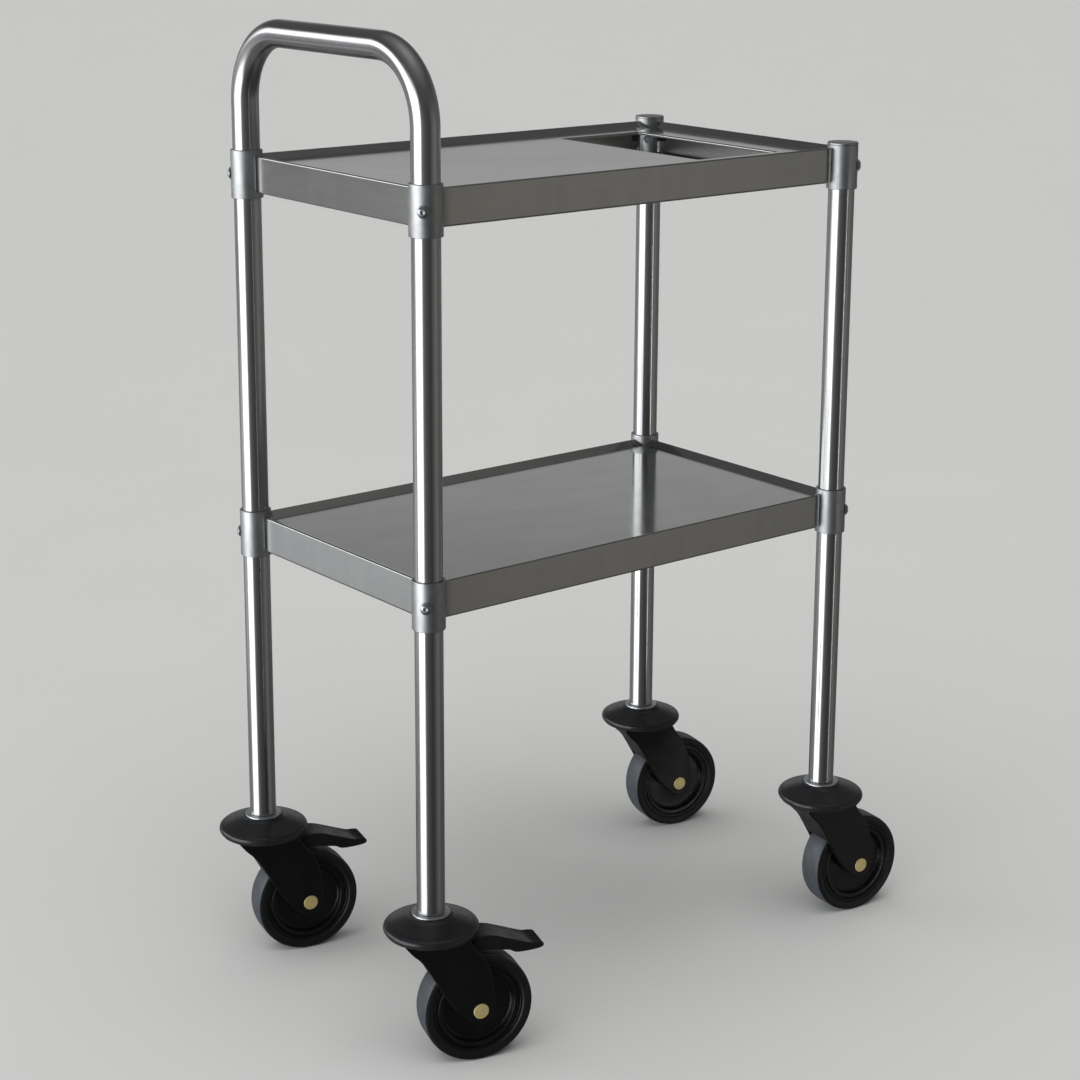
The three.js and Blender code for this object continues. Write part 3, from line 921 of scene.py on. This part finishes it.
def add_casters():
    patterns = {
        "disc": object_of("disc_pattern", bumper_mesh()),
        "ring": object_of("ring_pattern", washer_mesh()),
        "plain_fork": fork_object("plain_fork_pattern", False),
        "braked_fork": fork_object("braked_fork_pattern", True),
        "rivet": object_of("rivet_pattern", rivet_mesh()),
        "dish": object_of("dish_pattern", hub_mesh()),
        "tread": object_of("tread_pattern", tyre_mesh()),
        "plate": object_of("plate_pattern", pedal_mesh(), angle=32),
        "rod": object_of("rod_pattern", pin_mesh()),
    }
    for corner in CORNERS:
        add_caster(corner, patterns)
    for pattern in patterns.values():
        bpy.data.objects.remove(pattern)


# ---------- assembly ----------
add_handle()
bolt_pattern = object_of("bolt_pattern", bolt_mesh(), angle=30)
bolt_pattern.data.materials.append(BOLT_STEEL)
for corner in CORNERS:
    for level in LEVELS:
        add_collar(level, corner)
        add_bolt(level, corner, bolt_pattern)
    if corner.startswith("front"):
        add_leg_tube(corner)
        add_cap(corner)
    for node, material in ((f"stem_{corner}", ZINC), (f"stem_socket_{corner}", SOCKET_PLASTIC)):
        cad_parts[node].data.materials.clear()
        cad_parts[node].data.materials.append(material)
bpy.data.objects.remove(bolt_pattern)
for level in LEVELS:
    add_shelf(level)
add_casters()


# ---------- floor, light and camera ----------
CAMERA_AZIMUTH = -39.34
CAMERA_ELEVATION = 13.65
CAMERA_DISTANCE = 2.3319
CAMERA_ROLL = 0.45
CAMERA_TARGET = (0.0656, 0.0743, 0.501)
CAMERA_SENSOR = 36
CAMERA_LENS = 77.49
CAMERA_SHIFT = (-0.0303, -0.111)
FLOOR_HALF = 30
FLOOR_COLOR = (0.80, 0.80, 0.79)
BACKDROP_COLOR = (0.7, 0.7, 0.695)
WINDOW_TINT = (0.97, 0.99, 1.005)
WINDOW_LEVEL = 3.2
SKY_LEVEL = 1.6
SKY_WIDTH_DEGREES = 70
SKY_TILT_DEGREES = (12, -16)


def add_floor():
    mesh = bmesh.new()
    bmesh.ops.create_grid(mesh, x_segments=1, y_segments=1, size=FLOOR_HALF)
    data = bpy.data.meshes.new("floor")
    mesh.to_mesh(data)
    mesh.free()
    floor = bpy.data.objects.new("floor", data)
    scene.collection.objects.link(floor)
    paint = Finish("floor_paint", FLOOR_COLOR, 0.75)
    paint.rough(paint.spread(paint.noise(3, 3), 0.7, 0.85))
    data.materials.append(paint.material)
    floor.visible_glossy = False
    floor.visible_shadow = False


def direction(azimuth, elevation):
    """A unit vector from the cart; azimuth as the views count it, so 0 is towards -Y and 90 towards +X."""
    a, e = math.radians(azimuth), math.radians(elevation)
    return Vector((math.sin(a) * math.cos(e), -math.cos(a) * math.cos(e), math.sin(e)))


def add_light(name, azimuth, elevation, distance, size, power, color, aim):
    lamp = bpy.data.lights.new(name, "AREA")
    lamp.shape = "RECTANGLE"
    lamp.size, lamp.size_y = size
    lamp.energy = power
    lamp.color = color
    made = bpy.data.objects.new(name, lamp)
    scene.collection.objects.link(made)
    made.location = Vector(aim) + direction(azimuth, elevation) * distance
    made.rotation_euler = (Vector(aim) - made.location).to_track_quat("-Z", "Y").to_euler()
    made.visible_camera = False
    return lamp


def add_lights():
    """A narrow strip at the cart's right, a dim board at its left rear, and a wide soft light from above."""
    slit = add_light("slit", azimuth=8, elevation=-13.65, distance=2.35, size=(0.16, 2.4),
                     power=0.14, color=(1.0, 0.98, 0.95), aim=(0.5, 0, 0.5))
    slit.spread = math.radians(24)
    board = add_light("board", azimuth=-146, elevation=-14, distance=1.55, size=(0.9, 0.5),
                      power=0.042, color=(0.93, 0.985, 1.02), aim=(-0.27, 0, 0.42))
    board.spread = math.radians(44)
    sky = bpy.data.objects.new("sky", bpy.data.lights.new("sky", "SUN"))
    scene.collection.objects.link(sky)
    sky.data.energy = SKY_LEVEL
    sky.data.angle = math.radians(SKY_WIDTH_DEGREES)
    sky.rotation_euler = (*map(math.radians, SKY_TILT_DEGREES), 0)
    sky.visible_glossy = False


class Room:
    """The world's nodes: a colour for every direction, from its azimuth and its elevation in degrees."""

    def __init__(self, tree):
        self.tree = tree
        looking = tree.nodes.new("ShaderNodeTexCoord").outputs["Generated"]
        x, y, z = self.node("ShaderNodeSeparateXYZ", [looking])
        flipped = self.math("MULTIPLY", y, -1.0)
        self.azimuth = self.math("MULTIPLY", self.math("ARCTAN2", x, flipped), math.degrees(1))
        self.elevation = self.math("MULTIPLY", self.math("ARCSINE", z), math.degrees(1))

    def node(self, kind, values, **settings):
        made = self.tree.nodes.new(kind)
        for name, value in settings.items():
            setattr(made, name, value)
        for place, value in enumerate(values):
            self.put(made.inputs[place], value)
        return made.outputs

    def put(self, socket, value):
        if isinstance(value, bpy.types.NodeSocket):
            self.tree.links.new(value, socket)
        else:
            socket.default_value = value

    def math(self, operation, *values):
        return self.node("ShaderNodeMath", values, operation=operation)[0]

    def rise(self, value, start, end):
        """0 up to the start and 1 from the end on, smoothly."""
        return self.node("ShaderNodeMapRange", [value, start, end], interpolation_type="SMOOTHSTEP")[0]

    def band(self, value, low, high, soft):
        rising = self.rise(value, low - soft, low + soft)
        falling = self.rise(value, high + soft, high - soft)
        return self.math("MULTIPLY", rising, falling)

    def around(self, *stops):
        """A colour for every azimuth, from (azimuth, brightness, warmth) stops."""
        ramp = self.tree.nodes.new("ShaderNodeValToRGB")
        place = self.node("ShaderNodeMapRange", [self.azimuth, -180.0, 180.0])[0]
        self.tree.links.new(place, ramp.inputs["Fac"])
        elements = ramp.color_ramp.elements
        elements.remove(elements[1])  # a new ramp has two stops
        for i, (azimuth, level, warmth) in enumerate(stops):
            at = (azimuth + 180) / 360
            element = elements[0] if i == 0 else elements.new(at)
            element.position = at
            element.color = (level * (1 + warmth), level, level * (1 - 2 * warmth), 1)
        return ramp.outputs["Color"]

    def mixed(self, factor, first, second):
        made = self.tree.nodes.new("ShaderNodeMix")
        made.data_type = "RGBA"
        for socket, value in (("Factor", factor), ("A", first), ("B", second)):
            self.put(made.inputs[socket], value)
        return made.outputs["Result"]


def add_walls(room):
    """The room's walls: two bands round the cart, then darker and paler again towards the ceiling."""
    low = room.around(
        (-180, 0.40, 0), (-166, 0.40, 0), (-152, 0.20, 0), (-144, 0.37, 0), (-75, 0.32, 0), (-60, 0.26, 0),
        (-39, 0.13, 0), (-4, 0.065, 0), (21, 0.19, 0.03), (30, 0.21, 0.05), (39, 0.29, 0.04),
        (46, 0.24, 0.02), (60, 0.17, 0.01), (100, 0.15, 0), (141, 0.24, 0), (165, 0.24, 0), (180, 0.40, 0))
    middle_height = room.around(
        (-180, 0.22, 0), (-100, 0.30, 0), (-60, 0.2, 0), (-39, 0.10, 0), (-4, 0.065, 0), (21, 0.17, 0),
        (67, 0.15, 0), (112, 0.16, 0), (128, 0.46, 0), (155, 0.46, 0), (172, 0.22, 0), (180, 0.22, 0))
    walls = room.mixed(room.rise(room.elevation, 2.0, 9.0), low, middle_height)
    walls = room.mixed(room.rise(room.elevation, 12.0, 26.0), walls, (0.10, 0.10, 0.10, 1))
    walls = room.mixed(room.rise(room.elevation, 40.0, 56.0), walls, (0.19, 0.186, 0.178, 1))
    walls = room.mixed(room.rise(room.elevation, 58.0, 84.0), walls, (0.42, 0.42, 0.41, 1))
    shade = room.math("MULTIPLY", room.rise(room.elevation, -4.0, -40.0), 0.5)
    return room.mixed(shade, walls, (0, 0, 0, 1))


def add_window(room, walls):
    """The walls with the window in them. Its sill drops as the azimuth grows."""
    across = room.band(room.azimuth, -157.0, -69.5, 6.0)
    window = room.math("MULTIPLY", across, room.rise(room.elevation, 27.0, 16.0))
    sill = room.node("ShaderNodeMapRange", [room.azimuth, -140.0, -106.0, 3.0, -32.0],
                     interpolation_type="SMOOTHSTEP")[0]
    above_sill = room.math("SUBTRACT", room.elevation, sill)
    window = room.math("MULTIPLY", window, room.rise(above_sill, -5.0, 5.0))
    return room.mixed(window, walls, (*(WINDOW_LEVEL * part for part in WINDOW_TINT), 1))


def add_world():
    """A dim room with a big window. The camera itself sees an even pale backdrop."""
    world = bpy.data.worlds.new("room")
    scene.world = world
    world.use_nodes = True
    tree = world.node_tree
    room = Room(tree)
    light = add_window(room, add_walls(room))
    seen = tree.nodes.new("ShaderNodeLightPath").outputs["Is Camera Ray"]
    light = room.mixed(seen, light, (*BACKDROP_COLOR, 1))
    tree.links.new(light, tree.nodes["Background"].inputs["Color"])


def add_camera():
    lens = bpy.data.cameras.new("camera")
    lens.sensor_width = CAMERA_SENSOR
    lens.lens = CAMERA_LENS
    lens.shift_x, lens.shift_y = CAMERA_SHIFT
    camera = bpy.data.objects.new("camera", lens)
    scene.collection.objects.link(camera)
    back = direction(CAMERA_AZIMUTH, CAMERA_ELEVATION)
    turn = back.to_track_quat("Z", "Y").to_matrix().to_4x4()
    place = Matrix.Translation(Vector(CAMERA_TARGET) + back * CAMERA_DISTANCE)
    camera.matrix_world = place @ turn @ Matrix.Rotation(math.radians(CAMERA_ROLL), 4, "Z")
    scene.camera = camera


add_floor()
add_lights()
add_world()
add_camera()
